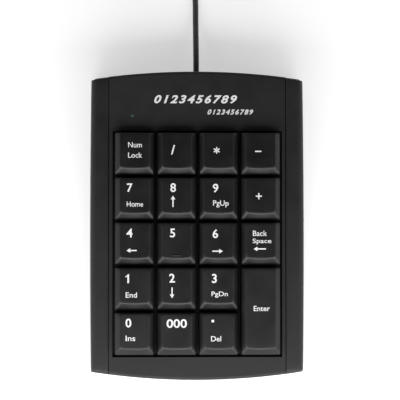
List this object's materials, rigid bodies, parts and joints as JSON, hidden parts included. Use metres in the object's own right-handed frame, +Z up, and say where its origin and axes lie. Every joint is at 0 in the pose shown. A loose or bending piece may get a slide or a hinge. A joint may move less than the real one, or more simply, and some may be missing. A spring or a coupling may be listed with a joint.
{
  "type": "numeric keypad",
  "caption": "Black wired desktop numeric keypad with dished keys that travel, a tall key on a stabilizer wire, side rails, a status light and a thin cable coiled behind it.",
  "frame": {"origin": "on the desk surface, under the middle of the case's plan; the cable, its coil and its plug are left out of that middle", "axes": "+X to the user's right, +Y away from the user along the case, +Z up"},
  "size_m": [0.0944, 0.2263, 0.0289],
  "materials": {
    "case_plastic": "fine textured black",
    "key_plastic": "satin black",
    "inner_plastic": "plain grey",
    "steel": "zinc plated",
    "silicone": "milky",
    "film": "clear film",
    "board": "solder mask",
    "chip": "moulded",
    "component": "ceramic",
    "sleeve": "printed sleeve",
    "lens": "translucent, unlit",
    "header": "natural nylon",
    "wire_red": "insulation",
    "wire_white": "insulation",
    "wire_green": "insulation",
    "wire_black": "insulation",
    "rubber": "matt",
    "label": "blank foil",
    "cable_jacket": "satin jacket",
    "plug_plastic": "moulded",
    "contact": "gold plated",
    "legend_print": "white pad-printed ink"
  },
  "bodies": {
    "case": {"top_cover": "case_plastic", "bottom_cover": "case_plastic", "left_side_rail": "case_plastic", "right_side_rail": "case_plastic", "key_guide_plate": "inner_plastic", "rubber_dome_sheet": "silicone", "membrane_top_layer": "film", "membrane_spacer": "film", "membrane_bottom_layer": "film", "backing_plate": "steel", "backing_plate_screws": "steel", "guide_plate_screws": "steel", "circuit_board": "board", "controller_chip": "chip", "crystal": "steel", "electrolytic_capacitor": "sleeve", "chip_components": "component", "status_led": "lens", "led_lens": "lens", "membrane_clamp_bar": "inner_plastic", "board_screws": "steel", "cable_header": "header", "cable_connector": "header", "wire_red": "wire_red", "wire_white": "wire_white", "wire_green": "wire_green", "wire_black": "wire_black", "cable_grommet": "rubber", "case_screws": "steel", "rubber_feet": "rubber", "rating_label": "label", "cable_run": "cable_jacket", "cable_coil": "cable_jacket", "cable_tie": "rubber", "plug_overmould": "plug_plastic", "plug_shell": "steel", "plug_tongue": "header", "plug_contacts": "contact"},
    "key_num_lock": {"key_num_lock": "key_plastic"},
    "key_divide": {"key_divide": "key_plastic"},
    "key_multiply": {"key_multiply": "key_plastic"},
    "key_minus": {"key_minus": "key_plastic"},
    "key_7": {"key_7": "key_plastic"},
    "key_8": {"key_8": "key_plastic"},
    "key_9": {"key_9": "key_plastic"},
    "key_plus": {"key_plus": "key_plastic"},
    "key_4": {"key_4": "key_plastic"},
    "key_5": {"key_5": "key_plastic"},
    "key_6": {"key_6": "key_plastic"},
    "key_backspace": {"key_backspace": "key_plastic"},
    "key_1": {"key_1": "key_plastic"},
    "key_2": {"key_2": "key_plastic"},
    "key_3": {"key_3": "key_plastic"},
    "key_enter": {"key_enter": "key_plastic"},
    "key_0": {"key_0": "key_plastic"},
    "key_000": {"key_000": "key_plastic"},
    "key_decimal": {"key_decimal": "key_plastic"},
    "enter_wire": {"enter_stabilizer_wire": "steel"}
  },
  "joints": [
    {"name": "press_num_lock", "type": "slide", "parent": "case", "child": "key_num_lock", "axis": [0, 0.0698, -0.9976], "range_m": [0, 0.003], "stiffness_N_per_m": 180, "springref_m": -0.0015, "deforming": ["rubber_dome_sheet"]},
    {"name": "press_divide", "type": "slide", "parent": "case", "child": "key_divide", "axis": [0, 0.0698, -0.9976], "range_m": [0, 0.003], "stiffness_N_per_m": 180, "springref_m": -0.0015, "deforming": ["rubber_dome_sheet"]},
    {"name": "press_multiply", "type": "slide", "parent": "case", "child": "key_multiply", "axis": [0, 0.0698, -0.9976], "range_m": [0, 0.003], "stiffness_N_per_m": 180, "springref_m": -0.0015, "deforming": ["rubber_dome_sheet"]},
    {"name": "press_minus", "type": "slide", "parent": "case", "child": "key_minus", "axis": [0, 0.0698, -0.9976], "range_m": [0, 0.003], "stiffness_N_per_m": 180, "springref_m": -0.0015, "deforming": ["rubber_dome_sheet"]},
    {"name": "press_7", "type": "slide", "parent": "case", "child": "key_7", "axis": [0, 0.0698, -0.9976], "range_m": [0, 0.003], "stiffness_N_per_m": 180, "springref_m": -0.0015, "deforming": ["rubber_dome_sheet"]},
    {"name": "press_8", "type": "slide", "parent": "case", "child": "key_8", "axis": [0, 0.0698, -0.9976], "range_m": [0, 0.003], "stiffness_N_per_m": 180, "springref_m": -0.0015, "deforming": ["rubber_dome_sheet"]},
    {"name": "press_9", "type": "slide", "parent": "case", "child": "key_9", "axis": [0, 0.0698, -0.9976], "range_m": [0, 0.003], "stiffness_N_per_m": 180, "springref_m": -0.0015, "deforming": ["rubber_dome_sheet"]},
    {"name": "press_plus", "type": "slide", "parent": "case", "child": "key_plus", "axis": [0, 0.0698, -0.9976], "range_m": [0, 0.003], "stiffness_N_per_m": 180, "springref_m": -0.0015, "deforming": ["rubber_dome_sheet"]},
    {"name": "press_4", "type": "slide", "parent": "case", "child": "key_4", "axis": [0, 0.0698, -0.9976], "range_m": [0, 0.003], "stiffness_N_per_m": 180, "springref_m": -0.0015, "deforming": ["rubber_dome_sheet"]},
    {"name": "press_5", "type": "slide", "parent": "case", "child": "key_5", "axis": [0, 0.0698, -0.9976], "range_m": [0, 0.003], "stiffness_N_per_m": 180, "springref_m": -0.0015, "deforming": ["rubber_dome_sheet"]},
    {"name": "press_6", "type": "slide", "parent": "case", "child": "key_6", "axis": [0, 0.0698, -0.9976], "range_m": [0, 0.003], "stiffness_N_per_m": 180, "springref_m": -0.0015, "deforming": ["rubber_dome_sheet"]},
    {"name": "press_backspace", "type": "slide", "parent": "case", "child": "key_backspace", "axis": [0, 0.0698, -0.9976], "range_m": [0, 0.003], "stiffness_N_per_m": 180, "springref_m": -0.0015, "deforming": ["rubber_dome_sheet"]},
    {"name": "press_1", "type": "slide", "parent": "case", "child": "key_1", "axis": [0, 0.0698, -0.9976], "range_m": [0, 0.003], "stiffness_N_per_m": 180, "springref_m": -0.0015, "deforming": ["rubber_dome_sheet"]},
    {"name": "press_2", "type": "slide", "parent": "case", "child": "key_2", "axis": [0, 0.0698, -0.9976], "range_m": [0, 0.003], "stiffness_N_per_m": 180, "springref_m": -0.0015, "deforming": ["rubber_dome_sheet"]},
    {"name": "press_3", "type": "slide", "parent": "case", "child": "key_3", "axis": [0, 0.0698, -0.9976], "range_m": [0, 0.003], "stiffness_N_per_m": 180, "springref_m": -0.0015, "deforming": ["rubber_dome_sheet"]},
    {"name": "press_enter", "type": "slide", "parent": "case", "child": "key_enter", "axis": [0, 0.0698, -0.9976], "range_m": [0, 0.003], "stiffness_N_per_m": 180, "springref_m": -0.0015, "deforming": ["rubber_dome_sheet"]},
    {"name": "press_0", "type": "slide", "parent": "case", "child": "key_0", "axis": [0, 0.0698, -0.9976], "range_m": [0, 0.003], "stiffness_N_per_m": 180, "springref_m": -0.0015, "deforming": ["rubber_dome_sheet"]},
    {"name": "press_000", "type": "slide", "parent": "case", "child": "key_000", "axis": [0, 0.0698, -0.9976], "range_m": [0, 0.003], "stiffness_N_per_m": 180, "springref_m": -0.0015, "deforming": ["rubber_dome_sheet"]},
    {"name": "press_decimal", "type": "slide", "parent": "case", "child": "key_decimal", "axis": [0, 0.0698, -0.9976], "range_m": [0, 0.003], "stiffness_N_per_m": 180, "springref_m": -0.0015, "deforming": ["rubber_dome_sheet"]},
    {"name": "enter_wire_turn", "type": "hinge", "parent": "case", "child": "enter_wire", "pos_m": [0.023, -0.03752, 0.01537], "axis": [0, 0.9976, 0.0698], "range_deg": [0, 21.7]}
  ],
  "couplings": [
    {"joint": "enter_wire_turn", "follows": "press_enter", "rad_per_m": 125.74}
  ]
}
